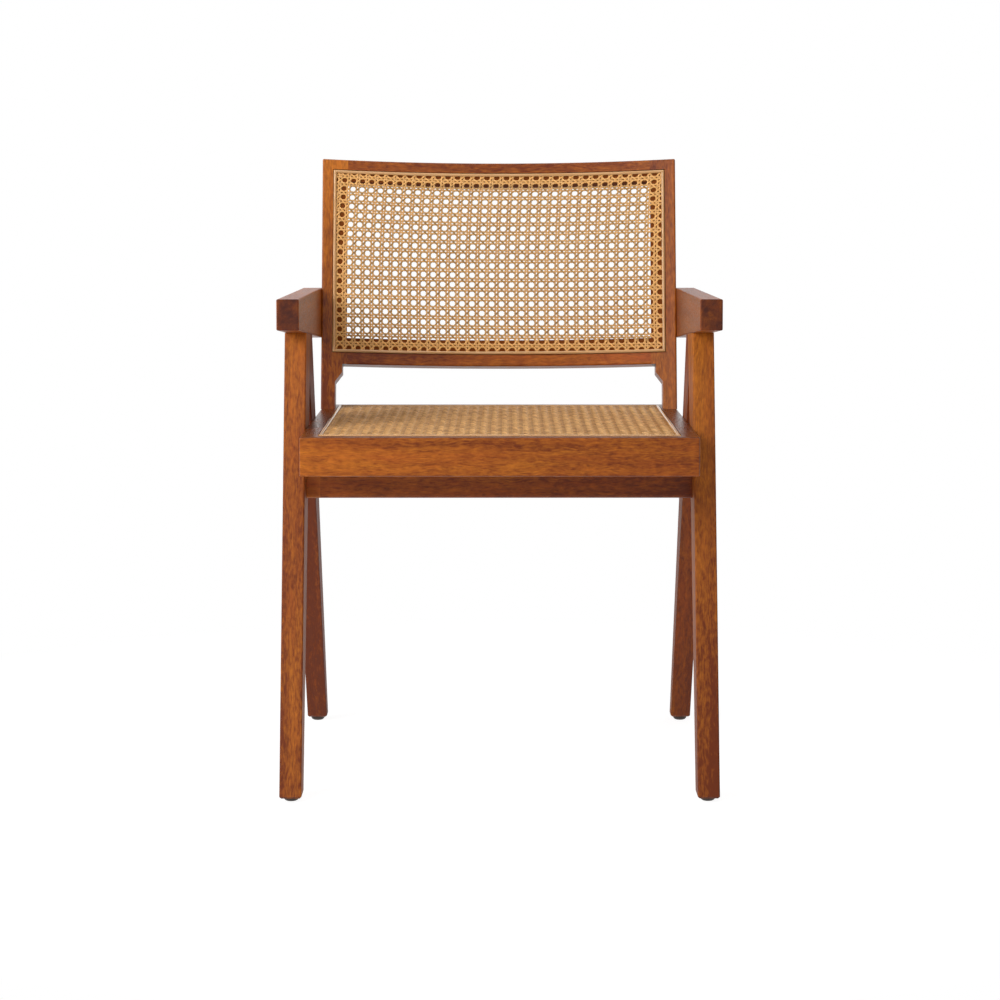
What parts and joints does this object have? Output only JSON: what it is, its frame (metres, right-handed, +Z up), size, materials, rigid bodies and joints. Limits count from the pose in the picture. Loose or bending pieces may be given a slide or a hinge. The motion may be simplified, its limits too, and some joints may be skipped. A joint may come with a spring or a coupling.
{
  "type": "cane armchair",
  "caption": "Open-frame wooden armchair with compass-shaped side legs, flat armrests, a caned box seat and a bowed caned back.",
  "frame": {"origin": "on the floor, under the middle of the overall width and depth", "axes": "+Z up, -Y the front of the chair, +X to the right seen from the front"},
  "size_m": [0.543, 0.5321, 0.7945],
  "materials": {
    "frame_wood": "teak-coloured hardwood, satin oil finish",
    "woven_cane": "natural woven cane, low sheen",
    "cane_spline": "natural cane spline, low sheen",
    "dowel_wood": "plain beech, fluted dowel stock",
    "glide_plastic": "moulded dark brown plastic",
    "zinc_steel": "zinc-plated steel"
  },
  "bodies": {
    "root": {"arm_leg_dowels": "dowel_wood", "arm_stile_dowels": "dowel_wood", "back_bottom_rail": "frame_wood", "back_cane": "woven_cane", "back_rail_dowels": "dowel_wood", "back_spline_bottom": "cane_spline", "back_spline_left": "cane_spline", "back_spline_right": "cane_spline", "back_spline_top": "cane_spline", "back_top_rail": "frame_wood", "corner_block_screws": "zinc_steel", "front_stretcher": "frame_wood", "glide_nails": "zinc_steel", "left_armrest": "frame_wood", "left_back_stile": "frame_wood", "left_front_corner_block": "frame_wood", "left_front_glide": "glide_plastic", "left_front_leg": "frame_wood", "left_rear_corner_block": "frame_wood", "left_rear_glide": "glide_plastic", "left_rear_leg": "frame_wood", "left_seat_side_rail": "frame_wood", "leg_bolt_washers": "zinc_steel", "leg_bolts": "zinc_steel", "leg_joint_dowels": "dowel_wood", "rear_stretcher": "frame_wood", "right_armrest": "frame_wood", "right_back_stile": "frame_wood", "right_front_corner_block": "frame_wood", "right_front_glide": "glide_plastic", "right_front_leg": "frame_wood", "right_rear_corner_block": "frame_wood", "right_rear_glide": "glide_plastic", "right_rear_leg": "frame_wood", "right_seat_side_rail": "frame_wood", "seat_cane": "woven_cane", "seat_front_rail": "frame_wood", "seat_rail_dowels": "dowel_wood", "seat_rear_rail": "frame_wood", "seat_spline_front": "cane_spline", "seat_spline_left": "cane_spline", "seat_spline_rear": "cane_spline", "seat_spline_right": "cane_spline", "stile_foot_dowels": "dowel_wood", "stretcher_dowels": "dowel_wood"}
  },
  "joints": []
}
